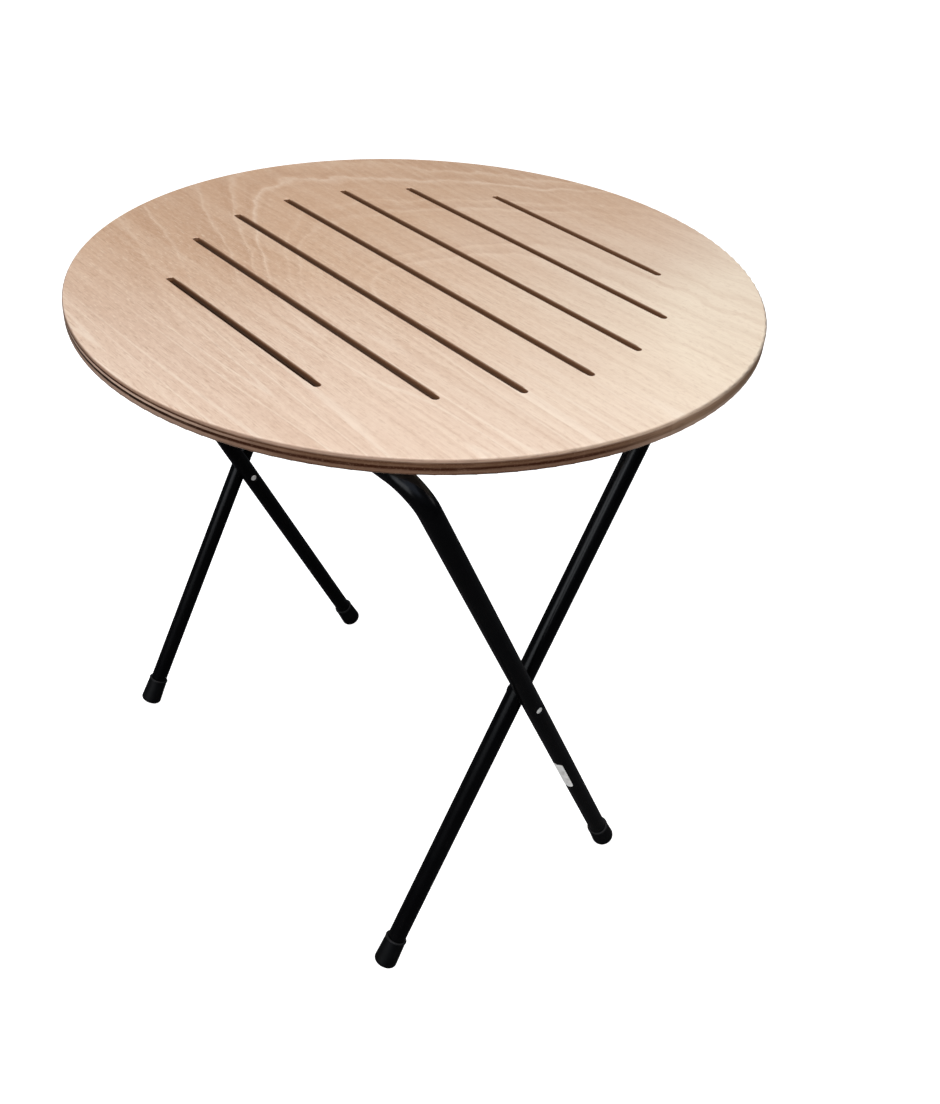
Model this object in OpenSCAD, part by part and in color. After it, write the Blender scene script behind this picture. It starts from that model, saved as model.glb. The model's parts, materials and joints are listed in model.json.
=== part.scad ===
// Round folding table: a slotted plywood disc on two crossed tube frames.
// Origin on the floor under the middle of the top, +Z up, slots along X.
// The hinge frame turns in two closed blocks under the top. The catch frame
// is riveted to it at both crossings, and its bar is held by two open clips.
// Folding slides the catch bar out along the underside until both lie flat.

/* [Top] */
// Diameter of the top
top_d = 700; // [560:10:900]
// Thickness of the plywood
top_t = 15; // [12:0.5:22]
// Height of the top face above the floor
table_h = 705; // [660:5:760]
// Radius of the upper edge of the top
edge_r = 2.5; // [1:0.5:5]
// Radius of the lower edge of the top
edge_low_r = 1; // [0.5:0.5:4]

/* [Slots] */
// Number of drainage slots, an odd number
slot_count = 7; // [1:2:7]
// Distance from slot to slot
slot_pitch = 71; // [50:1:76]
// Width of a slot
slot_w = 7; // [5:0.5:12]
// Diameter of the circle on which the slots end
slot_circle_d = 502; // [470:2:540]
// Shift of all the slots along their length, from the middle of the top
slot_shift = 3.5; // [-6:0.5:6]
// Width of the eased rim at the top of a slot
slot_ease = 0.8; // [0.2:0.1:1.5]

/* [Leg frames] */
// Outside diameter of the tube
tube_d = 21; // [18:0.5:25]
// Wall of the tube
tube_wall = 1.5; // [1:0.1:2]
// Radius of the bends, at the middle of the tube
bend_r = 31; // [26:1:50]
// Width of a frame, from leg axis to leg axis
frame_w = 544; // [480:2:580]
// Angle of the open legs from the vertical
leg_angle = 27; // [22:0.5:32]
// Turn of the leg frames from the direction of the slots
leg_turn = 1.3; // [0:0.1:3]
// Distance from a bar's axis to the pivot, along the leg
pivot_reach = 382; // [350:1:410]
// Place of the hinge bar's axis, from the middle of the top
hinge_bar_y = -220; // [-240:1:-190]
// Gap between the two frames' tubes at the pivot
frame_gap = 4.5; // [3:0.5:8]

/* [Pivots] */
// Diameter of the rivet's shank
rivet_d = 6; // [5:0.5:7]
// Diameter of the rivet's head
rivet_head_d = 7.6; // [7:0.2:9]
// Height of the rivet's head
rivet_head_h = 1.4; // [1:0.1:2]
// Diameter of the pressed dimple round a rivet's head, at its floor
dimple_d = 9.6; // [9.4:0.2:12]
// Depth of the dimple below the crown of the tube
dimple_depth = 1.1; // [0.8:0.1:1.4]
// Diameter of the spacer between the tubes
spacer_d = 14; // [10:0.5:18]
// Radial clearance of the shank in its holes
rivet_clear = 0.05; // [0.02:0.01:0.1]
// Clearance at each face of the spacer
spacer_clear = 0.2; // [0.1:0.05:0.4]

/* [Foot caps] */
// Length of a cap
cap_h = 37; // [30:1:50]
// Thickness of the cap's wall at its mouth
cap_wall = 1.7; // [1.4:0.1:3]
// Widening of the cap from its mouth to its foot, on the radius
cap_flare = 1.2; // [0.5:0.1:3]
// Thickness of the cap's floor
cap_floor = 6; // [5:0.5:9]
// Radius of the cap's lower edge
cap_edge_r = 4.5; // [1:0.5:5]
// Height of the rim bead at the cap's mouth
cap_bead = 2.4; // [1.6:0.2:4]
// Radial clearance of the tube in the cap
cap_clear = 0.1; // [0.05:0.05:0.2]

/* [Hinge blocks and catch clips] */
// Thickness of the pad between a bar and the plywood
pad_t = 2.5; // [2:0.5:4]
// Radial clearance round a bar
bar_clear = 0.3; // [0.25:0.05:0.5]
// Wall of the ring round a bar
ring_wall = 3.2; // [2.5:0.1:4]
// Thickness of a screw ear
ear_t = 4; // [3.5:0.5:5]
// Length of a screw ear beyond the ring
ear_len = 15; // [13:1:20]
// Width of a hinge block, along the bar
block_w = 20; // [16:1:26]
// Width of a catch clip, along the bar
clip_w = 26; // [24:1:30]
// Distance from the start of a bend to the hinge block
block_inset = 31; // [25:1:60]
// Distance from the start of a bend to the catch clip
clip_inset = 7; // [4:1:40]
// Thickness of the gussets between the ears and the rings
gusset_t = 2.4; // [2:0.2:3]
// Radius of the ears' corners
ear_corner_r = 4; // [2:0.5:6]
// Length of the clip's lip in front of the bar's axis
lip_len = 11; // [9:0.5:14]
// Height of the snap ridge on the lip
snap_h = 1.2; // [0.8:0.1:1.6]

/* [Screws] */
// Diameter of a screw's shank
screw_d = 4; // [3.5:0.5:4.5]
// Length of a screw below its head
screw_len = 15; // [13:1:16]
// Diameter of a screw's head
screw_head_d = 7.6; // [7:0.2:9]
// Height of a screw's head
screw_head_h = 2.6; // [2:0.1:3.2]
// Radial clearance of a screw in the plywood and in its ear
screw_clear = 0.1; // [0.05:0.05:0.3]
// Distance between the two screws of a catch clip
clip_screw_gap = 13; // [11:0.5:14]

/* [Hidden] */
$fn = 64;
tube_r = tube_d / 2;
bore_r = tube_r - tube_wall;
under_z = table_h - top_t;
// Depth of both bars' axes below the plywood
bar_drop = pad_t + bar_clear + tube_r;
bar_z = under_z - bar_drop;
catch_bar_y = hinge_bar_y + 2 * pivot_reach * sin(leg_angle);
pivot_z = bar_z - pivot_reach * cos(leg_angle);
// The catch frame stands beside the hinge frame, one tube and a gap away
frame_step = tube_d + frame_gap;
// The cap's lowest point is on its rounded edge, so the legs end where that
// edge meets the floor
cap_mouth_r = tube_r + cap_clear + cap_wall;
cap_foot_r = cap_mouth_r + cap_flare;
foot_rise = cap_edge_r + (cap_foot_r - cap_edge_r) * sin(leg_angle);
leg_len = pivot_reach
    + (pivot_z - foot_rise) / cos(leg_angle) + cap_edge_r;
tube_end = leg_len - cap_floor;
ring_r = tube_r + bar_clear + ring_wall;
ear_reach = ring_r + ear_len;
// A screw sits in the middle of the free part of its ear
ear_screw_y = ring_r + ear_len / 2;
screw_hole_r = screw_d / 2 + screw_clear;
pilot_depth = screw_len - ear_t + 1;
// From the crown of the catch frame's tube to that of the hinge frame's
pivot_span = 2 * tube_d + frame_gap;
// Half the straight part of a bar, and the blocks and clips on it
bar_half = frame_w / 2 - bend_r;
block_x = bar_half - block_inset - block_w / 2;
clip_x = bar_half - clip_inset - clip_w / 2;
// Small overlap of cutting tools past the faces that they cut
past = 1;
// The same, where a tapered cutter has to keep its width at the face
skin = 0.01;
// Widening of a dimple from its floor to its mouth, on the radius
dimple_slope = 1.5;
// Thickness of a clip's lip, as a share of its ring's wall
lip_share = 0.8;
// Width of the cross in a screw's head, and its depth as a share of the head
cross_w = 1;
cross_share = 0.6;

SIDES = ["left", "right"];

// Half the length of the slot at a distance y from the middle
function slot_half(y) = sqrt(pow(slot_circle_d / 2, 2) - y * y);
// -1 for the left side, 1 for the right side
function side(s) = s == "left" ? -1 : 1;
// Middle of a screw from the bar's axis, for the hinge block's two ears
function block_screw_y(n) = n == 1 ? -ear_screw_y : ear_screw_y;
// Place of a catch clip's screw along the bar
function clip_screw_x(n) = (n - 1.5) * clip_screw_gap;

// The legs' own axes, turned from the slots
module leg_axes() rotate([0, 0, leg_turn]) children();

// At the hinge bar, with -Z along the hinge frame's legs
module at_hinge_frame()
    leg_axes() translate([0, hinge_bar_y, bar_z])
        rotate([leg_angle, 0, 0]) children();

// At the catch bar, with -Z along the catch frame's legs
module at_catch_frame()
    leg_axes() translate([-frame_step, catch_bar_y, bar_z])
        rotate([-leg_angle, 0, 0]) children();

// Under the plywood, at the bar's axis, for the blocks and clips
module at_block(s)
    leg_axes() translate([side(s) * block_x, hinge_bar_y, bar_z]) children();
module at_clip(s)
    leg_axes() translate([side(s) * clip_x - frame_step, catch_bar_y, bar_z])
        children();

// Top

// Half section of the disc, with rounded edges
module top_section() {
    r = top_d / 2;
    square([r - edge_low_r, top_t / 2]);
    translate([0, edge_low_r]) square([r, top_t - edge_low_r - edge_r]);
    translate([0, top_t / 2]) square([r - edge_r, top_t / 2]);
    translate([r - edge_low_r, edge_low_r]) circle(edge_low_r);
    translate([r - edge_r, top_t - edge_r]) circle(edge_r);
}

// Cutter of a slot: a straight slot with round ends and an eased upper rim
module slot_cutter(half) {
    straight = half - slot_w / 2;
    low = [-past, top_t + past];
    translate([-straight, -slot_w / 2, low[0]])
        cube([2 * straight, slot_w, low[1] - low[0]]);
    for (x = [-straight, straight])
        translate([x, 0, low[0]]) cylinder(d = slot_w, h = low[1] - low[0]);
    wide = slot_w / 2 + slot_ease;
    rotate([90, 0, 90]) translate([0, 0, -straight])
        linear_extrude(2 * straight)
            polygon([[-wide, top_t + skin], [wide, top_t + skin],
                [slot_w / 2, top_t - slot_ease],
                [-slot_w / 2, top_t - slot_ease]]);
    for (x = [-straight, straight])
        translate([x, 0, top_t - slot_ease])
            cylinder(r1 = slot_w / 2, r2 = wide, h = slot_ease + skin);
}

module pilot_hole()
    translate([0, 0, -past]) cylinder(r = screw_hole_r, h = pilot_depth + past);

module table_top() color("burlywood") {
    rows = (slot_count - 1) / 2;
    difference() {
        translate([0, 0, under_z]) rotate_extrude() top_section();
        for (k = [-rows : rows])
            translate([slot_shift, k * slot_pitch, under_z])
                slot_cutter(slot_half(k * slot_pitch));
        for (s = SIDES, n = [1, 2]) {
            at_block(s) translate([0, block_screw_y(n), bar_drop])
                pilot_hole();
            at_clip(s) translate([clip_screw_x(n), -ear_screw_y, bar_drop])
                pilot_hole();
        }
    }
}

// Leg frames

// Solid U of one radius: a bar along X, two bends and two legs along -Z
module u_solid(r, leg_end) {
    translate([-bar_half, 0, 0]) rotate([0, 90, 0])
        cylinder(r = r, h = 2 * bar_half);
    for (m = [0, 1]) mirror([m, 0, 0]) {
        translate([bar_half, 0, -bend_r]) rotate([90, 0, 0])
            rotate_extrude(angle = 90) translate([bend_r, 0]) circle(r);
        translate([frame_w / 2, 0, -leg_end])
            cylinder(r = r, h = leg_end - bend_r);
    }
}

// Wall pressed inwards at one side of a leg, where a rivet head sits
module dimple_seat()
    translate([bore_r - dimple_depth, 0, 0]) rotate([0, 90, 0])
        cylinder(d = dimple_d + 2 * tube_wall, h = tube_wall);
module dimple_cutter()
    translate([tube_r - dimple_depth, 0, 0]) rotate([0, 90, 0])
        cylinder(r1 = dimple_d / 2, r2 = dimple_d / 2 + dimple_slope,
            h = dimple_depth + past);

// Bent tube with pivot holes, and dimples on the side that "face" gives
module u_frame(face) {
    difference() {
        union() {
            difference() {
                u_solid(tube_r, tube_end);
                u_solid(bore_r, tube_end + past);
            }
            for (x = [-frame_w / 2, frame_w / 2])
                translate([x, 0, -pivot_reach])
                    rotate([0, 0, face > 0 ? 0 : 180]) dimple_seat();
        }
        for (x = [-frame_w / 2, frame_w / 2])
            translate([x, 0, -pivot_reach]) {
                rotate([0, 0, face > 0 ? 0 : 180]) dimple_cutter();
                translate([-tube_r - past, 0, 0]) rotate([0, 90, 0])
                    cylinder(r = rivet_d / 2 + rivet_clear,
                        h = tube_d + 2 * past);
            }
    }
}

module hinge_frame() color("dimgray") at_hinge_frame() u_frame(1);
module catch_frame() color("dimgray") at_catch_frame() u_frame(-1);

// Foot caps

// Half section of a cap, mouth up, with its foot at zero
module cap_section() {
    bore = tube_r + cap_clear;
    difference() {
        union() {
            polygon([[0, cap_edge_r], [cap_foot_r, cap_edge_r],
                [cap_mouth_r, cap_h - cap_bead / 2],
                [cap_mouth_r, cap_h], [0, cap_h]]);
            square([cap_foot_r - cap_edge_r, cap_h / 2]);
            translate([cap_foot_r - cap_edge_r, cap_edge_r])
                circle(cap_edge_r);
            translate([cap_mouth_r - cap_bead / 4, cap_h - cap_bead / 2])
                circle(cap_bead / 2);
        }
        translate([0, cap_floor]) square([bore, cap_h]);
        translate([-2 * cap_foot_r, -past])
            square([2 * cap_foot_r, cap_h + 2 * past]);
    }
}

// A cap on the end of one leg of a frame
module foot_cap(s)
    translate([side(s) * frame_w / 2, 0, -leg_len])
        rotate_extrude() cap_section();

module hinge_foot_cap(s) color("black") at_hinge_frame() foot_cap(s);
module catch_foot_cap(s) color("black") at_catch_frame() foot_cap(s);

// Pivots

// At the pivot, with X from the catch frame's outer crown
module at_pivot(s)
    at_hinge_frame()
        translate([side(s) * frame_w / 2 + tube_r - pivot_span, 0,
            -pivot_reach]) children();

// Head of a rivet: a low dome that stands on its flat
module rivet_head() {
    r = rivet_head_d / 2;
    dome_r = (r * r + rivet_head_h * rivet_head_h) / (2 * rivet_head_h);
    rotate_extrude() intersection() {
        translate([0, rivet_head_h - dome_r]) circle(dome_r);
        square([r, rivet_head_h]);
    }
}

module pivot_rivet(s) color("silver") at_pivot(s) {
    seat = dimple_depth;
    translate([seat, 0, 0]) rotate([0, 90, 0])
        cylinder(d = rivet_d, h = pivot_span - 2 * seat);
    translate([seat, 0, 0]) rotate([0, -90, 0]) rivet_head();
    translate([pivot_span - seat, 0, 0]) rotate([0, 90, 0]) rivet_head();
}

module pivot_spacer(s) color("darkslategray") at_pivot(s)
    translate([tube_d + spacer_clear, 0, 0]) rotate([0, 90, 0])
        difference() {
            cylinder(d = spacer_d, h = frame_gap - 2 * spacer_clear);
            translate([0, 0, -past])
                cylinder(r = rivet_d / 2 + rivet_clear,
                    h = frame_gap + 2 * past);
        }

// Hinge blocks and catch clips

// Runs a section in Y and Z along X, about the bar's axis
module along_bar(w)
    translate([-w / 2, 0, 0]) rotate([90, 0, 90]) linear_extrude(w)
        children();

// Hole of an ear screw, through the ear
module ear_hole()
    translate([0, 0, bar_drop - ear_t - past])
        cylinder(r = screw_hole_r, h = ear_t + 2 * past);

// Outline of a block or clip from above, with rounded corners
module rounded_plan(w, low, high) {
    r = ear_corner_r;
    translate([-w / 2 + r, low]) square([w - 2 * r, high - low]);
    translate([-w / 2, low + r]) square([w, high - low - 2 * r]);
    for (x = [-w / 2 + r, w / 2 - r], y = [low + r, high - r])
        translate([x, y]) circle(r);
}

// The full height of a block or clip over its outline
module over_plan(w, low, high)
    translate([0, 0, -2 * ring_r]) linear_extrude(2 * ring_r + bar_drop)
        rounded_plan(w, low, high);

// Section of the gusset between an ear and the wall of its ring
module gusset_section()
    polygon([[ring_r - past, 0], [ring_r, 0],
        [ear_reach - ear_corner_r, bar_drop - ear_t],
        [ring_r - past, bar_drop - ear_t]]);

// Lower half of a ring, which stays clear of the plywood
module half_ring() intersection() {
    circle(ring_r);
    translate([-ring_r, -ring_r]) square([2 * ring_r, ring_r]);
}

// Closed section round the hinge bar, with an ear at each side
module block_section() difference() {
    union() {
        half_ring();
        translate([-ring_r, 0]) square([2 * ring_r, bar_drop]);
        translate([-ear_reach, bar_drop - ear_t])
            square([2 * ear_reach, ear_t]);
    }
    circle(tube_r + bar_clear);
}

// The gussets stand at the block's two ends, clear of the screws' heads
module hinge_block(s) color("dimgray") at_block(s) difference() {
    intersection() {
        union() {
            along_bar(block_w) block_section();
            for (x = [-1, 1], turn = [0, 180])
                translate([x * (block_w - gusset_t) / 2, 0, 0])
                    rotate([0, 0, turn]) along_bar(gusset_t) gusset_section();
        }
        over_plan(block_w, -ear_reach, ear_reach);
    }
    for (n = [1, 2]) translate([0, block_screw_y(n), 0]) ear_hole();
}

// Open section round the catch bar. The mouth faces the way that the bar
// leaves, and the lip is drawn as the bar passes it, sprung open
module clip_section() {
    seat_r = tube_r + bar_clear;
    lip_top = -seat_r - snap_h;
    lip_low = lip_top - ring_wall * lip_share;
    difference() {
        union() {
            half_ring();
            translate([-ring_r, 0]) square([ring_r, bar_drop]);
            translate([-ear_reach, bar_drop - ear_t])
                square([ear_reach, ear_t]);
        }
        circle(seat_r);
        translate([0, -2 * ring_r]) square([2 * ring_r, 4 * ring_r]);
    }
    // Pad over the bar
    translate([-past, bar_drop - pad_t])
        square([past + tube_r / 3, pad_t]);
    // Lip under the bar, with its snap ridge and a rounded end
    difference() {
        translate([-tube_r / 2, lip_low])
            square([tube_r / 2 + lip_len, lip_top - lip_low]);
        circle(seat_r);
    }
    translate([lip_len, (lip_top + lip_low) / 2])
        circle((lip_top - lip_low) / 2);
    translate([lip_len - snap_h, lip_top]) intersection() {
        circle(snap_h);
        translate([-snap_h, -snap_h / 2]) square([2 * snap_h, 2 * snap_h]);
    }
}

// The gusset stands between the clip's two screws
module catch_clip(s) color("dimgray") at_clip(s) difference() {
    intersection() {
        union() {
            along_bar(clip_w) clip_section();
            rotate([0, 0, 180]) along_bar(gusset_t) gusset_section();
        }
        over_plan(clip_w, -ear_reach, lip_len + ring_wall);
    }
    for (n = [1, 2])
        translate([clip_screw_x(n), -ear_screw_y, 0]) ear_hole();
}

// Screws

// A pan-head screw, head down, with its seat at zero and its point up
module screw() {
    r = screw_head_d / 2;
    dome_r = (r * r + screw_head_h * screw_head_h) / (2 * screw_head_h);
    difference() {
        union() {
            rotate([180, 0, 0]) rotate_extrude() intersection() {
                translate([0, screw_head_h - dome_r]) circle(dome_r);
                square([r, screw_head_h]);
            }
            cylinder(d = screw_d, h = screw_len - screw_d);
            translate([0, 0, screw_len - screw_d])
                cylinder(d1 = screw_d, d2 = screw_d / 4, h = screw_d);
        }
        for (turn = [0, 90])
            rotate([0, 0, turn])
                translate([-r / 2, -cross_w / 2, -screw_head_h - past])
                    cube([r, cross_w, past + screw_head_h * cross_share]);
    }
}

module block_screw(s, n) color("silver") at_block(s)
    translate([0, block_screw_y(n), bar_drop - ear_t]) screw();
module clip_screw(s, n) color("silver") at_clip(s)
    translate([clip_screw_x(n), -ear_screw_y, bar_drop - ear_t]) screw();

table_top();
hinge_frame();
catch_frame();
for (s = SIDES) {
    hinge_foot_cap(s);
    catch_foot_cap(s);
    pivot_rivet(s);
    pivot_spacer(s);
    hinge_block(s);
    catch_clip(s);
    for (n = [1, 2]) {
        block_screw(s, n);
        clip_screw(s, n);
    }
}
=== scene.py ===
import json
import math

import bmesh
import bpy
from mathutils import Matrix, Vector


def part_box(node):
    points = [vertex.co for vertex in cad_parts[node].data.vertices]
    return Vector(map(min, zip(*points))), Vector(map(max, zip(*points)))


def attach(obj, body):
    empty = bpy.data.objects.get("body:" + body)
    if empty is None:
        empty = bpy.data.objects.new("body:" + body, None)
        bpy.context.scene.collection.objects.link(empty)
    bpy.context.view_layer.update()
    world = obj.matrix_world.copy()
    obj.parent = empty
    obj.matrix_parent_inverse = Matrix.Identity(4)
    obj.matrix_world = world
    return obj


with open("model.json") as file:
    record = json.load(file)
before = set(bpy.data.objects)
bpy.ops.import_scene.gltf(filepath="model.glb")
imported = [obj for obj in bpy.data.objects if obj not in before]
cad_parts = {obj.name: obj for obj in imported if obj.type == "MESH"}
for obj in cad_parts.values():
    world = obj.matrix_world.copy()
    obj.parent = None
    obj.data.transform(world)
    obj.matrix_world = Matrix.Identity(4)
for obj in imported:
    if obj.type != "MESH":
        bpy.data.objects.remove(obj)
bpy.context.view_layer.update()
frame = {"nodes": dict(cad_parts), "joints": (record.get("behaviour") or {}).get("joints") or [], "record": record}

# Sizes from the frame, in metres, and the tubes' outer radius, as in the part's source
TOP_LOW, TOP_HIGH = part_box("table_top")
TOP_Z = TOP_HIGH.z
TOP_T = TOP_HIGH.z - TOP_LOW.z
TOP_R = (TOP_HIGH.x - TOP_LOW.x) / 2
TUBE_R = 0.0105


def srgb(red, green, blue):
    """A colour written as 0 to 255 in the screen's own curve, as linear values."""
    def linear(value):
        v = value / 255
        return v / 12.92 if v <= 0.04045 else ((v + 0.055) / 1.055) ** 2.4
    return (linear(red), linear(green), linear(blue), 1.0)


class Shader:
    """A material's node tree, with short calls for the nodes that this scene needs.

    Where a call takes a value, it takes another node's socket or a plain number.
    """

    def __init__(self, name):
        self.material = bpy.data.materials.new(name)
        self.material.use_nodes = True
        self.tree = self.material.node_tree
        self.tree.nodes.clear()
        self.output = self.tree.nodes.new("ShaderNodeOutputMaterial")

    def put(self, socket, value):
        """Links another node's socket to this one, or sets its value."""
        if isinstance(value, bpy.types.NodeSocket):
            self.tree.links.new(value, socket)
        else:
            socket.default_value = value

    def add(self, kind, inputs=(), **settings):
        """A new node, with its settings, and its inputs by name or by number."""
        node = self.tree.nodes.new(kind)
        for key, value in settings.items():
            setattr(node, key, value)
        for key, value in dict(inputs).items():
            self.put(node.inputs[key], value)
        return node

    def coordinates(self):
        """The part's own coordinates: the place is under Object, the facing under Normal."""
        return self.add("ShaderNodeTexCoord").outputs

    # Arithmetic

    def math(self, operation, *values):
        return self.add("ShaderNodeMath", enumerate(values), operation=operation).outputs[0]

    def plus(self, a, b):
        return self.math("ADD", a, b)

    def minus(self, a, b):
        return self.math("SUBTRACT", a, b)

    def times(self, a, b):
        return self.math("MULTIPLY", a, b)

    def over(self, a, b):
        return self.math("DIVIDE", a, b)

    def rise(self, value, start, by):
        """The start, plus so many times the value."""
        return self.math("MULTIPLY_ADD", value, by, start)

    def between(self, share, a, b):
        """A where the share is 0, and b where it is 1."""
        return self.rise(share, start=a, by=self.minus(b, a))

    def from_half(self, noise, by, start):
        """The start, moved up or down by a noise whose middle is a half."""
        return self.rise(self.minus(noise, 0.5), start=start, by=by)

    def radius(self, x, y):
        return self.math("SQRT", self.math("MULTIPLY_ADD", x, x, self.times(y, y)))

    def smooth(self, value, low, high):
        """0 below low, 1 above high, and a smooth step between them."""
        inputs = {"Value": value, "From Min": low, "From Max": high}
        node = self.add("ShaderNodeMapRange", inputs, interpolation_type="SMOOTHSTEP")
        return node.outputs["Result"]

    # Vectors and noise

    def combine(self, x, y, z):
        return self.add("ShaderNodeCombineXYZ", {"X": x, "Y": y, "Z": z}).outputs[0]

    def split(self, vector):
        return self.add("ShaderNodeSeparateXYZ", {"Vector": vector}).outputs[:3]

    def noise(self, vector, scale, detail, roughness):
        """Noise that repeats about so many times in a metre."""
        inputs = {"Vector": vector, "Scale": scale, "Detail": detail, "Roughness": roughness}
        return self.add("ShaderNodeTexNoise", inputs).outputs["Fac"]

    def pattern(self, vector, sizes, detail, roughness):
        """Noise that repeats about once in each of three lengths, along X, Y and Z."""
        scales = [1 / size for size in sizes]
        node = self.add("ShaderNodeVectorMath", {0: vector, 1: scales}, operation="MULTIPLY")
        return self.noise(node.outputs[0], 1.0, detail, roughness)

    def line_noise(self, value, detail, roughness):
        """Noise over a single value, which repeats about once in each unit of it."""
        inputs = {"W": value, "Scale": 1.0, "Detail": detail, "Roughness": roughness}
        return self.add("ShaderNodeTexNoise", inputs, noise_dimensions="1D").outputs["Fac"]

    # Colours

    def mix(self, share, a, b):
        """Colour a where the share is 0, and colour b where it is 1."""
        return self.add("ShaderNodeMix", {0: share, 6: a, 7: b}, data_type="RGBA").outputs[2]

    def tint(self, base, mask, share, colour):
        """The base, with a share of a colour in it where the mask is 1."""
        return self.mix(self.times(mask, share), base, srgb(*colour))

    def fade(self, noise, low, high, a, b):
        """Colour a where the noise is low, and colour b where it is high."""
        return self.mix(self.smooth(noise, low, high), srgb(*a), srgb(*b))

    def ramp(self, share, stops):
        """Colours over a share from 0 to 1, from pairs of a place and a colour."""
        node = self.add("ShaderNodeValToRGB", {"Fac": share})
        elements = node.color_ramp.elements
        while len(elements) < len(stops):
            elements.new(0.5)
        for element, (place, colour) in zip(elements, stops):
            element.position = place
            element.color = colour
        return node.outputs["Color"]

    # Surface

    def bump(self, height, depth, strength):
        inputs = {"Height": height, "Distance": depth, "Strength": strength}
        return self.add("ShaderNodeBump", inputs).outputs["Normal"]

    def finish(self, **inputs):
        """The surface shader, with its inputs named as on its own sockets."""
        named = {key.replace("_", " "): value for key, value in inputs.items()}
        node = self.add("ShaderNodeBsdfPrincipled", named)
        self.put(self.output.inputs["Surface"], node.outputs["BSDF"])
        return self.material


# Plywood: soft-edged parts of the top

# How fast each one grows along X and along Y, and the values, in metres, at which it begins
# and at which it is full. The slots run along X, and -Y is the near side
TOP_PARTS = {
    "near": (0.5, -1.0, 0.02, 0.34),
    "near_left": (-0.4, -1.0, 0.10, 0.22),
    "near_right": (0.8, -1.0, 0.10, 0.30),
    "near_rim": (0.55, -1.0, 0.0, 0.15),
    "not_far": (0.4, -1.0, -0.16, 0.10),
    "left": (-1.0, 0.2, -0.12, 0.16),
    "right": (1.0, 0.0, 0.06, 0.26),
}


def top_part(s, x, y, name):
    """1 in one part of the top, 0 in the rest of it, and a soft border."""
    along_x, along_y, begins, full = TOP_PARTS[name]
    return s.smooth(s.rise(x, start=s.times(y, along_y), by=along_x), begins, full)


# Plywood: the face veneer

# The grain's flame figure, whose rings run straight on the right and close to a tip on the
# left: its middle line in metres, that line's tilt, how fast the rings close and how much
# this slackens on the way, how much a distance on its far side counts, and how softly the
# rings begin to bend and how far a slow and a quick noise push them, in metres
FLAME_MIDDLE = -0.0152
FLAME_TILT = 0.079
FLAME_CLOSING = 0.1129
FLAME_SLACK = 0.116
FLAME_FAR = 0.356
FLAME_SOFT = 0.0468
FLAME_WARP = 0.014
FLAME_RIPPLE = 0.010
# Growth rings in the figure's own measure: place and half width in metres, and strength
RINGS = (
    (0.0470, 0.0022, 0.45),
    (0.0649, 0.0030, 0.90),
    (0.0780, 0.0020, 0.45),
    (0.1233, 0.0022, 0.80),
    (0.1330, 0.0018, 0.55),
    (0.1514, 0.0022, 0.90),
    (0.1610, 0.0018, 0.75),
    (0.1776, 0.0024, 0.70),
    (0.2195, 0.0028, 0.70),
    (0.2480, 0.0028, 0.50),
)
RING_SPAN = 0.320
# Greys of the rings' ramp: plain wood, just before a ring, and how far a full ring goes up in
# its pale line and down in the brown band behind it, with that band's place in half widths.
# Then the share and colour, 0 to 255, of a full line and of a full band
RING_PLAIN = 0.5
RING_BEFORE = 0.48
RING_PALER = 0.5
RING_BROWNER = 0.4
RING_BAND = 0.8
RING_PALE = (0.60, (246, 222, 200))
RING_BROWN = (0.36, (176, 131, 99))
# What is left of the rings on the right, and where the noise of their figure is low, and the
# values of that noise between which they come out
RING_RIGHT = 0.58
RING_FAINT = 0.50
RING_FIGURE = (0.35, 0.60)
# Fine lines between the rings: width in metres, values of their noise where they begin and
# are full, share and colour
LAMELLA_WIDTH = 0.0060
LAMELLA_RANGE = (0.45, 0.75)
LAMELLA = (0.16, (190, 148, 117))
# Noise in the veneer: size along and across the grain in metres, detail and roughness
VENEER_NOISE = {
    "warp": (0.20, 0.14, 1.0, 0.4),
    "ripple": (0.040, 0.030, 2.0, 0.5),
    "cloud": (0.30, 0.12, 3.0, 0.55),
    "figure": (0.16, 0.10, 2.0, 0.5),
    "streak": (0.26, 0.0070, 4.0, 0.6),
    "dashes": (0.014, 0.0015, 3.0, 0.6),
    "flecks": (0.009, 0.0013, 2.0, 0.6),
    "mottle": (0.0060, 0.0034, 3.0, 0.65),
    "slow": (0.85, 0.060, 1.0, 0.4),
}
# The broad tone, from the brown left to the pale right, is partly the veneer's own tone and
# partly painted light: a painted pool of the front right lamp's light and the varnish's sheen,
# most at the far right. Its value in the middle, how fast it grows along X and towards the far
# right, how much the clouds change it, and its colours
TONE_MIDDLE = 0.5
TONE_ALONG = 1.35
FAR_RIGHT_PAINTED_LIGHT = 5.0
TONE_CLOUDS = 0.50
TONE_AND_LIGHT_COLOURS = (
    (0.05, (218, 179, 147)),
    (0.30, (217, 180, 149)),
    (0.55, (227, 196, 170)),
    (0.80, (235, 211, 188)),
    (1.00, (248, 230, 207)),
)
# Parts of the top that lean to another tone: the paler near side, which is painted light from
# the front, and a little darker near left. Part, share and colour
TONE_AND_LIGHT_PARTS = (
    ("near", 0.46, (240, 216, 199)),
    ("near_left", 0.07, (150, 112, 86)),
)
# Marks of the grain: noise, its value where the mark begins and where it is full, share,
# colour, and which mask thins the mark out. Calm marks get fainter far off, and quiet ones
# more so, and on the right too
GRAIN_MARKS = (
    ("streak", 0.38, 0.72, 0.16, (186, 146, 117), "calm"),
    ("streak", 0.58, 0.34, 0.18, (246, 226, 204), "calm"),
    ("dashes", 0.50, 0.76, 0.50, (172, 129, 99), "quiet"),
    ("flecks", 0.54, 0.78, 0.48, (250, 232, 212), "quiet"),
    ("mottle", 0.50, 0.78, 0.22, (176, 134, 106), "even"),
    ("mottle", 0.50, 0.22, 0.26, (246, 226, 206), "even"),
)
CALM_FAR = 0.70
QUIET_FAR = 0.30
QUIET_RIGHT = 0.35
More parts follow.
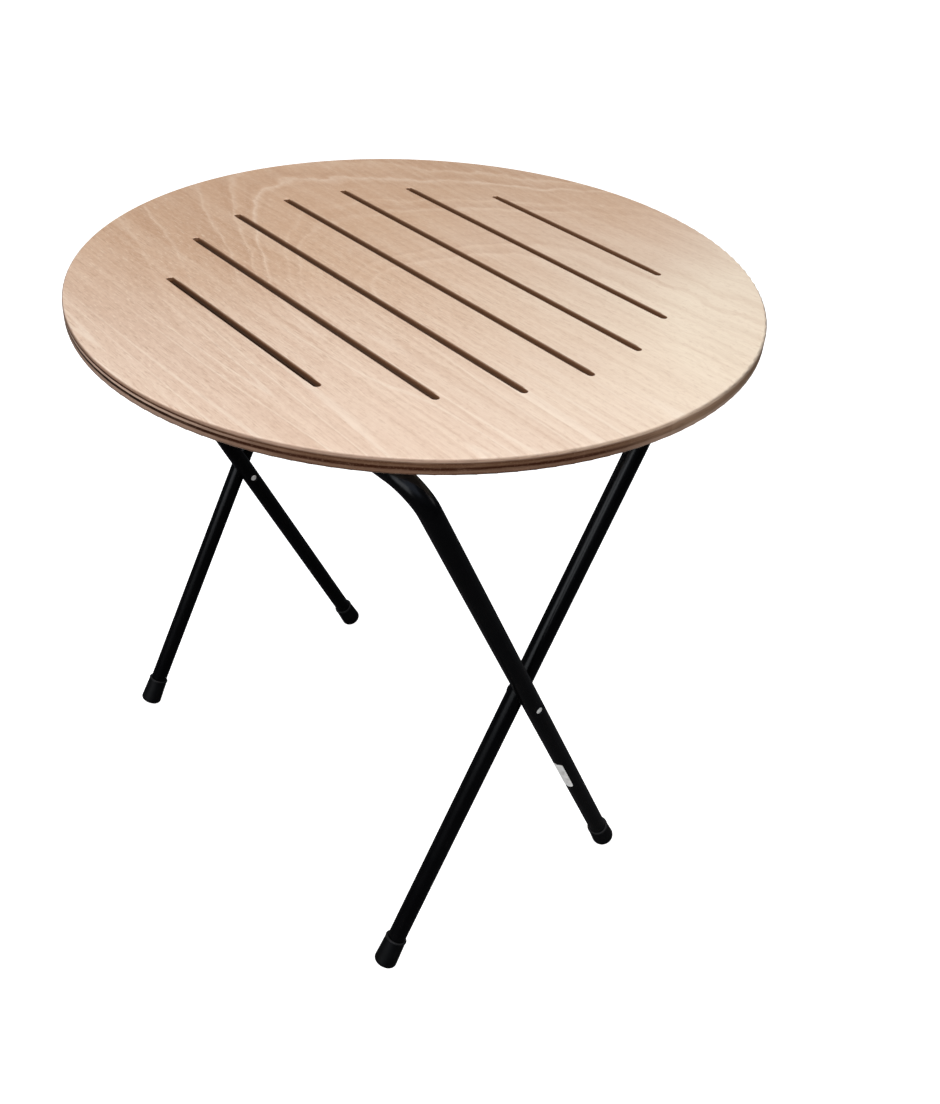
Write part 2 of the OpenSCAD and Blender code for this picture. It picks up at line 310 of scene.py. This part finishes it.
# Thin pale growth lines on the near right: how many levels of the slow noise carry one, how
# near to a level a line begins and is full, and its share and colour
LINE_LEVELS = 9.0
LINE_RANGE = (0.10, 0.02)
LINE = (0.32, (252, 236, 218))
# The slots: distance from row to row, shift along X, radius of the circle that they end on,
# and half the width of their eased mouth
SLOT_PITCH = 0.071
SLOT_SHIFT = 0.0035
SLOT_REACH = 0.251
SLOT_HALF = 0.0043
# The darker line beside a mouth is painted shade, where the eased rim turns down into the slot:
# width, how far before the circle it fades out, from and to, and its share and colour
MOUTH_WIDTH = 0.0010
MOUTH_ENDS = (0.004, 0.010)
MOUTH_SHADE = (0.70, (112, 76, 54))


def veneer_noise(s, place, name):
    """One of the noises in the table above, over the top face."""
    along, across, detail, roughness = VENEER_NOISE[name]
    return s.pattern(place, (along, across, 1.0), detail, roughness)


def flame(s, place, x, y):
    """Distance from the middle of the flame figure: its level lines are the growth rings.

    The way to the left of the top's middle bends them. It is eased to 0 on the right.
    """
    left = s.times(x, -1.0)
    square = s.rise(left, start=FLAME_SOFT * FLAME_SOFT, by=left)
    along = s.times(s.plus(left, s.math("SQRT", square)), 0.5)
    across = s.minus(y, s.rise(along, start=FLAME_MIDDLE, by=FLAME_TILT))
    far = s.times(s.math("MAXIMUM", across, 0.0), FLAME_FAR)
    across = s.plus(far, s.math("MINIMUM", across, 0.0))
    closing = s.rise(along, start=FLAME_CLOSING, by=-FLAME_SLACK)
    reach = s.math("SQRT", s.rise(along, start=s.times(across, across), by=closing))
    reach = s.from_half(veneer_noise(s, place, "warp"), by=FLAME_WARP, start=reach)
    return s.from_half(veneer_noise(s, place, "ripple"), by=FLAME_RIPPLE, start=reach)


def growth_rings(s, reach):
    """A grey over the figure: a half in plain wood, more in a pale line, less in a brown band."""
    def grey(value):
        return (value, value, value, 1.0)

    stops = [(0.0, grey(RING_PLAIN))]
    for place, half, strength in RINGS:
        pale = RING_PLAIN + RING_PALER * strength
        brown = RING_PLAIN - RING_BROWNER * strength
        stops.append(((place - half) / RING_SPAN, grey(RING_BEFORE)))
        stops.append((place / RING_SPAN, grey(pale)))
        stops.append(((place + RING_BAND * half) / RING_SPAN, grey(brown)))
    stops.append((1.0, grey(RING_PLAIN)))
    return s.ramp(s.over(reach, RING_SPAN), stops)


def tone_with_painted_light(s, place, x, y):
    """The veneer's tone, partly painted light: browner on the left, paler on the right, most at the far right."""
    # Painted light: the right and far right grow paler as a painted pool of lamp light and sheen.
    far_right_light = s.times(s.math("MAXIMUM", x, 0.0), y)
    lean = s.rise(x, start=TONE_MIDDLE, by=TONE_ALONG)
    lean = s.rise(far_right_light, start=lean, by=FAR_RIGHT_PAINTED_LIGHT)
    tone = s.from_half(veneer_noise(s, place, "cloud"), by=TONE_CLOUDS, start=lean)
    base = s.ramp(tone, [(at, srgb(*colour)) for at, colour in TONE_AND_LIGHT_COLOURS])
    # The near side's pale tint is painted light from the front.
    for name, share, colour in TONE_AND_LIGHT_PARTS:
        base = s.tint(base, top_part(s, x, y, name), share, colour)
    return base


def add_rings(s, base, place, x, y):
    """Growth rings, strongest on the left, and fine lines that follow them."""
    reach = flame(s, place, x, y)
    rings = growth_rings(s, reach)
    left = top_part(s, x, y, "left")
    figure = s.smooth(veneer_noise(s, place, "figure"), *RING_FIGURE)
    strength = s.times(s.rise(left, start=RING_RIGHT, by=1 - RING_RIGHT),
                       s.rise(figure, start=RING_FAINT, by=1 - RING_FAINT))
    pale = s.math("MAXIMUM", s.rise(rings, start=-1.0, by=2.0), 0.0)
    brown = s.math("MAXIMUM", s.rise(rings, start=1.0, by=-2.0), 0.0)
    base = s.tint(base, s.times(pale, strength), *RING_PALE)
    base = s.tint(base, s.times(brown, strength), *RING_BROWN)
    lamella = s.line_noise(s.over(reach, LAMELLA_WIDTH), detail=3.0, roughness=0.6)
    return s.tint(base, s.smooth(lamella, *LAMELLA_RANGE), *LAMELLA)


def add_grain(s, base, x, y, noises):
    """Long streaks, short dashes and flecks along the grain, faint far off and on the right."""
    not_far = top_part(s, x, y, "not_far")
    calm = s.rise(not_far, start=CALM_FAR, by=1 - CALM_FAR)
    quiet = s.times(s.rise(not_far, start=QUIET_FAR, by=1 - QUIET_FAR),
                    s.rise(top_part(s, x, y, "right"), start=1.0, by=QUIET_RIGHT - 1))
    masks = {"even": 1.0, "calm": calm, "quiet": quiet}
    for name, begins, full, share, colour, mask in GRAIN_MARKS:
        mark = s.times(s.smooth(noises[name], begins, full), masks[mask])
        base = s.tint(base, mark, share, colour)
    return base


def add_growth_lines(s, base, place, x, y):
    """Thin pale lines that run nearly along the grain on the near right."""
    level = s.times(veneer_noise(s, place, "slow"), LINE_LEVELS)
    line = s.smooth(s.math("PINGPONG", level, 0.5), *LINE_RANGE)
    return s.tint(base, s.times(line, top_part(s, x, y, "near_right")), *LINE)


def add_painted_mouth_shade(s, base, x, y):
    """Painted shade: a darker line on the veneer beside each slot's eased mouth."""
    row = s.times(s.math("ROUND", s.over(y, SLOT_PITCH)), SLOT_PITCH)
    beside = s.math("ABSOLUTE", s.minus(y, row))
    reach = s.radius(s.minus(x, SLOT_SHIFT), row)
    outside, full = [SLOT_REACH - end for end in MOUTH_ENDS]
    # Painted shade beside the slot's mouth.
    line = s.times(s.smooth(beside, SLOT_HALF + MOUTH_WIDTH, SLOT_HALF),
                   s.smooth(reach, outside, full))
    return s.tint(base, line, *MOUTH_SHADE)


def veneer_colour(s, place, noises):
    """The face veneer's colour, from its broad tone to its finest marks."""
    x, y, _ = s.split(place)
    base = tone_with_painted_light(s, place, x, y)
    base = add_rings(s, base, place, x, y)
    base = add_grain(s, base, x, y, noises)
    base = add_growth_lines(s, base, place, x, y)
    return add_painted_mouth_shade(s, base, x, y)


# Plywood: the plies on the rim and on the slots' walls

# Depth below the top face at which each visible ply of the edge starts, in metres, how much
# lower the plies lie on the right, and how far they wave
PLY_STARTS = (0.0, 0.0023, 0.0043, 0.0066, 0.0095, 0.0126)
PLY_LOWER = 0.0008
PLY_WAVE = 0.0005
# The plies' colours from the top down: where the rim faces left or near and its bands show
# clearly, where it faces right, and where it faces right and back, which is paler. Part of the
# change with facing is painted light: the pale plies are lighter where the rim faces left, away
# from the lamps, and palest facing right and back. The top ply, the pale face veneer, is lighter
# still as painted light from above on the rounding
PLY_BANDED_LIT = ((136, 108, 92), (56, 28, 14), (192, 164, 146),
              (26, 8, 1), (158, 131, 115), (140, 118, 104))
PLY_PLAIN = ((158, 132, 115), (86, 58, 42), (103, 74, 55),
             (54, 23, 6), (112, 84, 67), (70, 48, 36))
PLY_FAINT_LIT = ((184, 160, 140), (150, 122, 99), (142, 114, 92),
             (138, 110, 88), (166, 142, 124), (160, 138, 122))
# Values of the normal between which the rim faces left, and faces back, along Y and along X
LEFT_NX = (0.65, 0.10)
BACK_NY = (-0.25, 0.10)
BACK_NX = (0.10, 0.50)
# Half the step from one ply to the next, as a share of the board
PLY_CRISP = 0.016
PLY_BLURRED = 0.050
# Marks on the plies: size along the edge and down it in metres, detail, roughness, the values
# where a mark begins and is full, share and colour
PLY_MARKS = {
    "fibre": (0.022, 0.0011, 4.0, 0.65, 0.42, 0.68, 0.34, (50, 26, 14)),
    "scuff": (0.035, 0.0016, 3.0, 0.60, 0.50, 0.72, 0.24, (160, 130, 108)),
}
# Pale pores on the plies: sizes along X, Y and Z in metres, values of their noise where they
# begin and are full, share and colour
PORE_SIZES = (0.0018, 0.0018, 0.0012)
PORE_RANGE = (0.50, 0.78)
PORES = (0.26, (158, 126, 102))
# A slot's wall, darker deeper down as painted shade in the slot: colour near its mouth and deeper
# down, depths between which it changes, and how far it hides the plies
WALL_SHADE_COLOURS = ((122, 85, 60), (64, 39, 25))
WALL_SHADE_DEPTHS = (0.0030, 0.0058)
WALL_SHARE = 0.85
# Width in metres of the zone at the board's rim that counts as its edge
RIM_BAND = 0.02
# Depth in a slot at which the face veneer's colour gives way to the plies, how much deeper
# that is at the left ends, where the extra pale band is a painted highlight of the eased end that
# faces the lamp, how softly it does, and the values of the normal that tell an end
VENEER_DEPTH = 0.0003
END_HIGHLIGHT_DEPTH = 0.0006
VENEER_SOFT = 0.0003
END_NX = (0.15, 0.50)
# The same on the rim, measured from the middle of the rounding: how far before it, on the near
# side, or past it, on the far side, and how softly
RIM_EARLY = 0.0008
RIM_SOFT = 0.0017
# How deep the dashes, the streaks and the fibres lie in the bump, as shares of its depth
DASH_DEPTH = 0.6
STREAK_DEPTH = 0.4
FIBRE_DEPTH = 0.5


def ply_stack(s, share, colours, soft):
    """The plies' colours over the board's thickness, each with a soft step to the next."""
    stops = [(0.0, srgb(*colours[0]))]
    for start, before, after in zip(PLY_STARTS[1:], colours, colours[1:]):
        stops.append((start / TOP_T - soft, srgb(*before)))
        stops.append((start / TOP_T + soft, srgb(*after)))
    return s.ramp(share, stops)


def add_ply_mark(s, base, layer, name):
    """One kind of mark along the edge, and its noise for the bump."""
    along, down, detail, roughness, begins, full, share, colour = PLY_MARKS[name]
    noise = s.pattern(layer, (along, 1.0, down), detail, roughness)
    return s.tint(base, s.smooth(noise, begins, full), share, colour), noise


def ply_colour_with_light(s, place, normal):
    """Colour of the board's edge and of the slots' walls, ply by ply, and its fibres, with painted light that
    changes as the rim faces and painted shade deeper in the slots.
    """
    x, y, z = s.split(place)
    nx, ny, _ = s.split(normal)
    from_top = s.minus(TOP_Z, z)
    facing_left = s.smooth(nx, *LEFT_NX)
    facing_back = s.times(s.smooth(ny, *BACK_NY), s.smooth(nx, *BACK_NX))
    wave = s.pattern(place, sizes=(0.05, 0.05, 0.02), detail=2.0, roughness=0.5)
    depth = s.from_half(wave, by=PLY_WAVE, start=from_top)
    depth = s.rise(s.minus(facing_left, 1.0), start=depth, by=PLY_LOWER)
    share = s.over(depth, TOP_T)
    # Painted light: the plies' colours change with the way the rim faces.
    side = s.mix(facing_left, ply_stack(s, share, PLY_PLAIN, PLY_BLURRED),
                 ply_stack(s, share, PLY_BANDED_LIT, PLY_CRISP))
    side = s.mix(facing_back, side, ply_stack(s, share, PLY_FAINT_LIT, PLY_BLURRED))

    in_slot = s.math("LESS_THAN", s.radius(x, y), TOP_R - RIM_BAND)
    round_rim = s.times(s.math("ARCTAN2", y, x), TOP_R)
    layer = s.combine(s.between(in_slot, round_rim, x), 0.0, z)
    side, fibre = add_ply_mark(s, side, layer, "fibre")
    side, _ = add_ply_mark(s, side, layer, "scuff")
    pores = s.pattern(place, PORE_SIZES, detail=3.0, roughness=0.7)
    side = s.tint(side, s.smooth(pores, *PORE_RANGE), *PORES)
    # Painted shade: the wall darkens deeper into the slot.
    wall = s.fade(from_top, *WALL_SHADE_DEPTHS, *WALL_SHADE_COLOURS)
    return s.mix(s.times(in_slot, WALL_SHARE), side, wall), fibre


def face_share(s, place, normal):
    """1 on the board's faces, 0 on its rim and in its slots, and a soft border.

    The measure across the border is the depth in a slot, and on the rim the way past the
    middle of the rounding.
    """
    x, y, z = s.split(place)
    nx, _, _ = s.split(normal)
    from_top = s.minus(TOP_Z, z)
    from_faces = s.math("MINIMUM", from_top, s.minus(TOP_T, from_top))
    from_rim = s.minus(TOP_R, s.radius(x, y))
    at_rim = s.math("LESS_THAN", from_rim, RIM_BAND)
    across = s.minus(from_faces, s.times(at_rim, from_rim))
    # The deeper pale veneer at the slots' left ends is a painted highlight.
    slot_start = s.rise(s.smooth(nx, *END_NX), start=VENEER_DEPTH, by=END_HIGHLIGHT_DEPTH)
    near_rim = top_part(s, x, y, "near_rim")
    rim_start = s.rise(near_rim, start=RIM_EARLY, by=-2 * RIM_EARLY)
    start = s.between(at_rim, slot_start, rim_start)
    soft = s.rise(at_rim, start=VENEER_SOFT, by=RIM_SOFT - VENEER_SOFT)
    return s.smooth(s.over(s.minus(across, start), soft), low=1.0, high=-1.0)


def plywood_material():
    """Pale plywood under a satin varnish, with bare plies at its edges."""
    s = Shader("plywood")
    coordinates = s.coordinates()
    place = coordinates["Object"]
    normal = coordinates["Normal"]
    noises = {name: veneer_noise(s, place, name)
              for name in ("streak", "dashes", "flecks", "mottle")}
    flat = face_share(s, place, normal)
    side, fibre = ply_colour_with_light(s, place, normal)
    colour = s.mix(flat, side, veneer_colour(s, place, noises))
    grain = s.plus(s.times(noises["dashes"], DASH_DEPTH), s.times(noises["streak"], STREAK_DEPTH))
    height = s.plus(s.times(grain, flat), s.times(fibre, FIBRE_DEPTH))
    gloss = s.pattern(place, sizes=(0.09, 0.03, 0.03), detail=3.0, roughness=0.5)
    return s.finish(Base_Color=colour, Roughness=s.rise(gloss, start=0.34, by=0.16),
                    Specular_IOR_Level=s.rise(flat, start=0.08, by=0.42),
                    Normal=s.bump(height, depth=0.00006, strength=0.55))


# Painted tube, rubber, zinc, moulded plastic and paper

def black_paint_material():
    """Satin black powder coat, with a faint peel and a little dust."""
    s = Shader("black_paint")
    place = s.coordinates()["Object"]
    peel = s.noise(place, scale=900.0, detail=2.0, roughness=0.5)
    cloud = s.noise(place, scale=14.0, detail=4.0, roughness=0.6)
    dust = s.noise(place, scale=2600.0, detail=1.0, roughness=0.5)
    colour = s.fade(cloud, low=0.35, high=0.75, a=(1, 1, 2), b=(4, 4, 5))
    specks = s.smooth(dust, low=0.72, high=0.80)
    colour = s.tint(colour, specks, share=0.08, colour=(70, 69, 66))
    return s.finish(Base_Color=colour, Roughness=s.rise(cloud, start=0.20, by=0.10),
                    Specular_IOR_Level=0.25,
                    Normal=s.bump(peel, depth=0.00004, strength=0.22))


def rubber_material():
    """Black rubber, scuffed, and pale where it faces up, as dust and a painted highlight on the rim."""
    s = Shader("rubber")
    coordinates = s.coordinates()
    place = coordinates["Object"]
    _, _, nz = s.split(coordinates["Normal"])
    grain = s.noise(place, scale=1300.0, detail=3.0, roughness=0.6)
    scuff = s.pattern(place, sizes=(0.02, 0.02, 0.006), detail=4.0, roughness=0.65)
    colour = s.fade(scuff, low=0.45, high=0.80, a=(2, 2, 3), b=(8, 8, 8))
    # Dust and a painted highlight: a pale tint where the cap faces up.
    dust_and_highlight = s.smooth(nz, low=0.45, high=0.80)
    colour = s.tint(colour, dust_and_highlight, share=0.45, colour=(60, 60, 61))
    return s.finish(Base_Color=colour, Roughness=s.rise(scuff, start=0.36, by=0.20),
                    Specular_IOR_Level=0.3,
                    Normal=s.bump(grain, depth=0.00008, strength=0.5))


def zinc_material():
    """Zinc plate with a fine spangle and dull stains."""
    s = Shader("zinc")
    place = s.coordinates()["Object"]
    spangle = s.noise(place, scale=700.0, detail=2.0, roughness=0.6)
    stain = s.noise(place, scale=160.0, detail=4.0, roughness=0.65)
    colour = s.fade(stain, low=0.40, high=0.75, a=(228, 228, 226), b=(184, 182, 178))
    return s.finish(Base_Color=colour, Roughness=s.rise(spangle, start=0.24, by=0.25),
                    Metallic=0.35,
                    Normal=s.bump(spangle, depth=0.00003, strength=0.4))


def nylon_material():
    """Moulded black plastic with a fine grain and slow flow marks."""
    s = Shader("nylon")
    place = s.coordinates()["Object"]
    grain = s.noise(place, scale=1900.0, detail=3.0, roughness=0.6)
    flow = s.noise(place, scale=55.0, detail=3.0, roughness=0.5)
    colour = s.fade(flow, low=0.35, high=0.75, a=(22, 22, 23), b=(38, 38, 39))
    return s.finish(Base_Color=colour, Roughness=s.rise(flow, start=0.40, by=0.18),
                    Specular_IOR_Level=0.45,
                    Normal=s.bump(grain, depth=0.00005, strength=0.4))


def paper_material():
    """Blank white label paper, a little worn."""
    s = Shader("sticker_paper")
    place = s.coordinates()["Object"]
    fibre = s.noise(place, scale=1500.0, detail=3.0, roughness=0.6)
    wear = s.noise(place, scale=120.0, detail=4.0, roughness=0.6)
    colour = s.fade(wear, low=0.45, high=0.80, a=(238, 238, 236), b=(205, 204, 200))
    return s.finish(Base_Color=colour, Roughness=0.42, Specular_IOR_Level=0.5,
                    Normal=s.bump(fibre, depth=0.00003, strength=0.3))


def dress_nodes():
    """Gives each carried-over node the material of its slot in the record."""
    makers = {
        "plywood": plywood_material,
        "black_paint": black_paint_material,
        "rubber": rubber_material,
        "zinc": zinc_material,
        "nylon": nylon_material,
    }
    materials = {slot: make() for slot, make in makers.items()}
    for part in frame["record"]["subparts"]:
        node = frame["nodes"][part["node"]]
        node.data.materials.clear()
        node.data.materials.append(materials[part["material_slot"]])


# Sticker

# The sticker's size, corners and thickness in metres, its gap to the tube, its distance below
# the pivot along the leg, the turn of its middle round the tube from +X, with the leg's lower
# side at -90 degrees, and how many faces it has across and along
STICKER_LEN = 0.061
STICKER_WIDTH = 0.022
STICKER_CORNER = 0.004
STICKER_THICK = 0.00012
STICKER_GAP = 0.00002
STICKER_BELOW = 0.158
STICKER_TURN = -math.radians(96)
STICKER_COLS = 28
STICKER_ROWS = 36


def leg_frame():
    """Origin on the right leg's axis at the pivot, X along the pivot, Z up the leg."""
    joint = {j["name"]: j for j in frame["joints"]}
    pin = Vector(joint["fold"]["axis"]).normalized()
    bar = Vector(joint["fold"]["pos_m"])
    pivot = Vector(joint["frame_pivot"]["pos_m"])
    up = (bar - pivot).normalized()
    tube = frame["nodes"]["hinge_frame"].data.vertices
    reach = max((vertex.co - pivot).dot(pin) for vertex in tube)
    turn = Matrix((pin, up.cross(pin), up)).transposed().to_4x4()
    return Matrix.Translation(pivot + pin * (reach - TUBE_R)) @ turn


def rounded_half_width(t):
    """Half the sticker's width at a distance t from its middle, along the leg."""
    over = abs(t) - (STICKER_LEN / 2 - STICKER_CORNER)
    if over <= 0:
        return STICKER_WIDTH / 2
    lost = STICKER_CORNER - math.sqrt(max(STICKER_CORNER ** 2 - over ** 2, 0))
    return STICKER_WIDTH / 2 - lost


def sticker_rows(mesh, place, radius):
    """Rows of vertices over the sticker's outline, bent round the leg at a radius.

    The rows lie closer together towards both ends, where the corners are round.
    """
    rows = []
    for i in range(STICKER_ROWS + 1):
        t = -math.cos(math.pi * i / STICKER_ROWS) * STICKER_LEN / 2
        half = rounded_half_width(t)
        row = []
        for j in range(STICKER_COLS + 1):
            arc = (2 * j / STICKER_COLS - 1) * half
            turn = STICKER_TURN + arc / TUBE_R
            point = Vector((math.cos(turn), math.sin(turn), 0)) * radius
            point.z = -STICKER_BELOW - t
            row.append(mesh.verts.new(place @ point))
        rows.append(row)
    return rows


def make_sticker(material):
    """A blank paper label that follows the tube, as a thin closed shell."""
    place = leg_frame()
    mesh = bmesh.new()
    inner = sticker_rows(mesh, place, TUBE_R + STICKER_GAP)
    outer = sticker_rows(mesh, place, TUBE_R + STICKER_GAP + STICKER_THICK)
    for i in range(STICKER_ROWS):
        for j in range(STICKER_COLS):
            mesh.faces.new((outer[i][j], outer[i][j + 1], outer[i + 1][j + 1], outer[i + 1][j]))
            mesh.faces.new((inner[i][j], inner[i + 1][j], inner[i + 1][j + 1], inner[i][j + 1]))
        for j in (0, STICKER_COLS):
            mesh.faces.new((inner[i][j], inner[i + 1][j], outer[i + 1][j], outer[i][j]))
    for i in (0, STICKER_ROWS):
        for j in range(STICKER_COLS):
            mesh.faces.new((inner[i][j], inner[i][j + 1], outer[i][j + 1], outer[i][j]))
    bmesh.ops.recalc_face_normals(mesh, faces=mesh.faces)
    data = bpy.data.meshes.new("leg_sticker")
    mesh.to_mesh(data)
    mesh.free()
    for face in data.polygons:
        face.use_smooth = True
    data.materials.append(material)
    sticker = bpy.data.objects.new("leg_sticker", data)
    bpy.context.scene.collection.objects.link(sticker)
    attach(sticker, "hinge_frame")


# Camera

# The camera that was fitted to the photograph: place in metres, turns in radians, lens and
# sensor in millimetres, shift as a share of the sensor, and how far it sees, in metres
CAMERA_AT = Vector((0.89002, -0.71546, 1.20576))
CAMERA_YAW = 0.86955
CAMERA_PITCH = 0.65383
CAMERA_ROLL = 0.05568
CAMERA_LENS = 38.7993
CAMERA_SENSOR = 36
CAMERA_SHIFT = (0.03749, 0.01415)
CAMERA_SEES = 100


def make_camera():
    """Turns the camera by its yaw and pitch, then rolls it about its own line of sight."""
    yaw, pitch, roll = CAMERA_YAW, CAMERA_PITCH, CAMERA_ROLL
    ahead = Vector((-math.sin(yaw) * math.cos(pitch), math.cos(yaw) * math.cos(pitch),
                    -math.sin(pitch)))
    right = ahead.cross(Vector((0, 0, 1))).normalized()
    up = right.cross(ahead)
    turned_right = right * math.cos(roll) + up * math.sin(roll)
    turned_up = up * math.cos(roll) - right * math.sin(roll)
    data = bpy.data.cameras.new("camera")
    data.sensor_width = CAMERA_SENSOR
    data.lens = CAMERA_LENS
    data.shift_x, data.shift_y = CAMERA_SHIFT
    data.clip_end = CAMERA_SEES
    camera = bpy.data.objects.new("camera", data)
    turn = Matrix((turned_right, turned_up, -ahead)).transposed().to_4x4()
    camera.matrix_world = Matrix.Translation(CAMERA_AT) @ turn
    bpy.context.scene.collection.objects.link(camera)
    bpy.context.scene.camera = camera


# Floor, sky and lamps

# The floor's radius in metres and its sides, its grey under the lamps, its own glow to the
# camera, and its grey in reflections
FLOOR_R = 14.0
FLOOR_SIDES = 96
FLOOR_GREY = (0.78, 0.78, 0.78, 1)
FLOOR_GLOW = 0.90
FLOOR_REFLECTED = (0.06, 0.06, 0.065, 1)
# The sky's colour and strength: as the camera sees it, as light, and in reflections
SKY_SEEN = ((1, 1, 1), 1.0)
SKY_LIGHT = ((0.93, 0.96, 1.0), 0.30)
SKY_REFLECTED = ((0.80, 0.88, 1.0), 0.08)
# Points that the lamps and the panels are turned to
LAMP_AIM = (0, 0, 0.6)
FILL_AIM = (0, 0, 0.65)
PANEL_AIM = (0.1, 0, 0.5)
# Lamps for the light, and dim panels that only show as sheen on the tubes: name, place, aim,
# width and height in metres, watts, colour, and whether matt and glossy surfaces show them
LAMPS = (
    ("overhead", (-0.1, 0.1, 3.0), LAMP_AIM, (2.4, 2.4), 26, (0.94, 0.97, 1.0), True, True),
    ("key", (1.25, -1.05, 2.2), LAMP_AIM, (1.6, 1.6), 34, (1.0, 0.985, 0.96), True, False),
    ("fill", (-1.25, -2.1, 0.75), FILL_AIM, (1.4, 0.8), 16, (1, 1, 1), True, False),
    ("key_sheen", (1.25, -1.05, 2.2), PANEL_AIM, (2.2, 2.2), 12, (0.66, 0.77, 1.0), False, True),
    ("front_sheen", (0.45, -2.35, 1.2), PANEL_AIM, (2.1, 1.2), 19, (0.90, 0.95, 1.0), False, True),
    ("back_sheen", (1.6, 1.9, 1.2), PANEL_AIM, (0.5, 1.0), 2.4, (1, 1, 1), False, True),
    ("left_sheen", (-2.4, -0.4, 1.2), PANEL_AIM, (0.8, 1.2), 5.5, (1, 1, 1), False, True),
)


def floor_material():
    """Pale paint that glows white to the camera, is dim in reflections and clear from below."""
    s = Shader("pale_floor")
    rays = s.add("ShaderNodeLightPath").outputs
    seen = s.math("MAXIMUM", rays["Is Camera Ray"], rays["Is Transmission Ray"])
    shade = s.mix(rays["Is Glossy Ray"], FLOOR_GREY, FLOOR_REFLECTED)
    paint = s.add("ShaderNodeBsdfDiffuse", {"Color": shade}).outputs[0]
    glow = s.add("ShaderNodeEmission", {"Color": (1, 1, 1, 1), "Strength": FLOOR_GLOW})
    bright = s.add("ShaderNodeAddShader", {0: paint, 1: glow.outputs[0]}).outputs[0]
    above = s.add("ShaderNodeMixShader", {0: seen, 1: paint, 2: bright}).outputs[0]
    below = s.times(s.add("ShaderNodeNewGeometry").outputs["Backfacing"], seen)
    clear = s.add("ShaderNodeBsdfTransparent").outputs[0]
    both = s.add("ShaderNodeMixShader", {0: below, 1: above, 2: clear})
    s.put(s.output.inputs["Surface"], both.outputs[0])
    return s.material


def make_floor():
    """A round floor on which the camera sees only the part's soft shadows."""
    mesh = bmesh.new()
    bmesh.ops.create_circle(mesh, cap_ends=True, segments=FLOOR_SIDES, radius=FLOOR_R)
    data = bpy.data.meshes.new("floor")
    mesh.to_mesh(data)
    mesh.free()
    data.materials.append(floor_material())
    floor = bpy.data.objects.new("floor", data)
    bpy.context.scene.collection.objects.link(floor)


def make_world():
    """White to the camera, a soft grey sky to surfaces, and a dim bluish one in reflections."""
    world = bpy.data.worlds.new("studio")
    bpy.context.scene.world = world
    world.use_nodes = True
    tree = world.node_tree
    tree.nodes.clear()
    output = tree.nodes.new("ShaderNodeOutputWorld")
    rays = tree.nodes.new("ShaderNodeLightPath")

    def backdrop(colour, strength):
        node = tree.nodes.new("ShaderNodeBackground")
        node.inputs["Color"].default_value = (*colour, 1)
        node.inputs["Strength"].default_value = strength
        return node.outputs[0]

    def pick(ray, otherwise, seen):
        node = tree.nodes.new("ShaderNodeMixShader")
        tree.links.new(rays.outputs[ray], node.inputs[0])
        tree.links.new(otherwise, node.inputs[1])
        tree.links.new(seen, node.inputs[2])
        return node.outputs[0]

    sky = pick("Is Glossy Ray", backdrop(*SKY_LIGHT), backdrop(*SKY_REFLECTED))
    tree.links.new(pick("Is Camera Ray", sky, backdrop(*SKY_SEEN)), output.inputs["Surface"])


def make_lamp(name, at, aim, size, power, colour, diffuse, glossy):
    """One rectangular lamp or panel, turned to its aim."""
    data = bpy.data.lights.new(name, "AREA")
    data.shape = "RECTANGLE"
    data.size, data.size_y = size
    data.energy = power
    data.color = colour
    lamp = bpy.data.objects.new(name, data)
    lamp.location = at
    lamp.rotation_euler = (Vector(aim) - Vector(at)).to_track_quat("-Z", "Y").to_euler()
    lamp.visible_diffuse = diffuse
    lamp.visible_glossy = glossy
    bpy.context.scene.collection.objects.link(lamp)


make_camera()
make_floor()
make_world()
for lamp in LAMPS:
    make_lamp(*lamp)
dress_nodes()
make_sticker(paper_material())
bpy.context.scene.view_settings.view_transform = "Standard"
